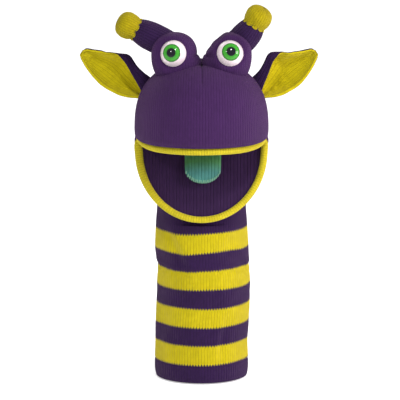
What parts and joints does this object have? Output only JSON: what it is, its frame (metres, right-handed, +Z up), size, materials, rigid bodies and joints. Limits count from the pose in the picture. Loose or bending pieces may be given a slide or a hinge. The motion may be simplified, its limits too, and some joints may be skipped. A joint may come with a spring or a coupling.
{
  "type": "knitted sock puppet",
  "caption": "Knitted glove-style sock puppet of a horned creature, with a striped sleeve for the forearm and a wide hinged mouth.",
  "frame": {"origin": "centre of the arm opening, in the plane of the sleeve's hem", "axes": "+Z up the forearm towards the head; the puppet faces -Y, so its own left side is +X"},
  "size_m": [0.2566, 0.155, 0.4095],
  "materials": {
    "purple_knit": "knitted",
    "yellow_knit": "knitted",
    "lining_knit": "ribbed knit",
    "teal_knit": "ribbed knit",
    "stuffing": "loose fibre",
    "pocket_cloth": "woven lining",
    "board": "matt",
    "dark_thread": "thread",
    "pale_thread": "thread",
    "eye_white": "gloss",
    "eye_green": "gloss",
    "eye_black": "gloss",
    "washer": "matt"
  },
  "bodies": {
    "cuff": {"hem_band": "purple_knit", "hem_facing": "purple_knit"},
    "sleeve": {"sleeve_purple_courses": "purple_knit", "sleeve_yellow_courses": "yellow_knit"},
    "neck": {"neck_yellow_courses": "yellow_knit", "neck_purple_courses": "purple_knit"},
    "head": {"head_skin": "purple_knit", "nape_skin": "purple_knit", "head_stuffing": "stuffing", "finger_pocket": "pocket_cloth", "palate_board_upper": "board", "mouth_lining_upper": "lining_knit", "lip_band_upper": "yellow_knit", "forehead_dart_thread": "dark_thread", "eye_mound_left": "purple_knit", "eye_mound_stuffing_left": "stuffing", "eyeball_left": "eye_white", "iris_left": "eye_green", "pupil_left": "eye_black", "eye_washer_left": "washer", "eye_mound_right": "purple_knit", "eye_mound_stuffing_right": "stuffing", "eyeball_right": "eye_white", "iris_right": "eye_green", "pupil_right": "eye_black", "eye_washer_right": "washer"},
    "jaw": {"jaw_skin": "purple_knit", "jaw_padding": "stuffing", "thumb_pocket": "pocket_cloth", "palate_board_lower": "board", "mouth_lining_lower": "lining_knit", "lip_band_lower": "yellow_knit"},
    "tongue": {"tongue_top": "teal_knit", "tongue_underside": "teal_knit", "tongue_edge_thread": "pale_thread"},
    "ear_left": {"ear_front_left": "yellow_knit", "ear_back_left": "purple_knit"},
    "ear_right": {"ear_front_right": "yellow_knit", "ear_back_right": "purple_knit"},
    "horn_left": {"horn_cover_left": "purple_knit", "horn_stuffing_left": "stuffing", "pompom_cover_left": "yellow_knit", "pompom_stuffing_left": "stuffing", "pompom_thread_left": "dark_thread"},
    "horn_right": {"horn_cover_right": "purple_knit", "horn_stuffing_right": "stuffing", "pompom_cover_right": "yellow_knit", "pompom_stuffing_right": "stuffing", "pompom_thread_right": "dark_thread"}
  },
  "joints": [
    {"name": "sleeve_twist", "type": "hinge", "parent": "cuff", "child": "sleeve", "pos_m": [0, 0, 0.0184], "axis": [0, 0, 1], "range_deg": [-45, 45]},
    {"name": "neck_nod", "type": "hinge", "parent": "sleeve", "child": "neck", "pos_m": [0, 0, 0.155], "axis": [1, 0, 0], "range_deg": [-20, 20]},
    {"name": "head_tilt", "type": "hinge", "parent": "neck", "child": "head", "pos_m": [0, 0, 0.183], "axis": [0, 1, 0], "range_deg": [-18, 18]},
    {"name": "jaw_open", "type": "hinge", "parent": "head", "child": "jaw", "pos_m": [0, -0.015, 0.258], "axis": [1, 0, 0], "range_deg": [-60, 4]},
    {"name": "tongue_lift", "type": "hinge", "parent": "jaw", "child": "tongue", "pos_m": [0.0015, -0.02074, 0.24746], "axis": [1, 0, 0], "range_deg": [-1, 8.5]},
    {"name": "ear_flap_left", "type": "hinge", "parent": "head", "child": "ear_left", "pos_m": [0.0618, -0.007, 0.3155], "axis": [-0.503, 0, 0.8643], "range_deg": [-25, 25], "stiffness_Nm_per_rad": 0.05},
    {"name": "ear_flap_right", "type": "hinge", "parent": "head", "child": "ear_right", "pos_m": [-0.0618, -0.007, 0.3155], "axis": [0.503, 0, 0.8643], "range_deg": [-25, 25], "stiffness_Nm_per_rad": 0.05},
    {"name": "horn_bend_left", "type": "hinge", "parent": "head", "child": "horn_left", "pos_m": [0.0288, -0.035, 0.3555], "axis": [0, 1, 0], "range_deg": [-12, 12], "stiffness_Nm_per_rad": 0.2},
    {"name": "horn_bend_right", "type": "hinge", "parent": "head", "child": "horn_right", "pos_m": [-0.0288, -0.035, 0.3555], "axis": [0, 1, 0], "range_deg": [-12, 12], "stiffness_Nm_per_rad": 0.2}
  ],
  "couplings": [
    {"joint": "tongue_lift", "follows": "jaw_open", "ratio": -0.13333}
  ]
}
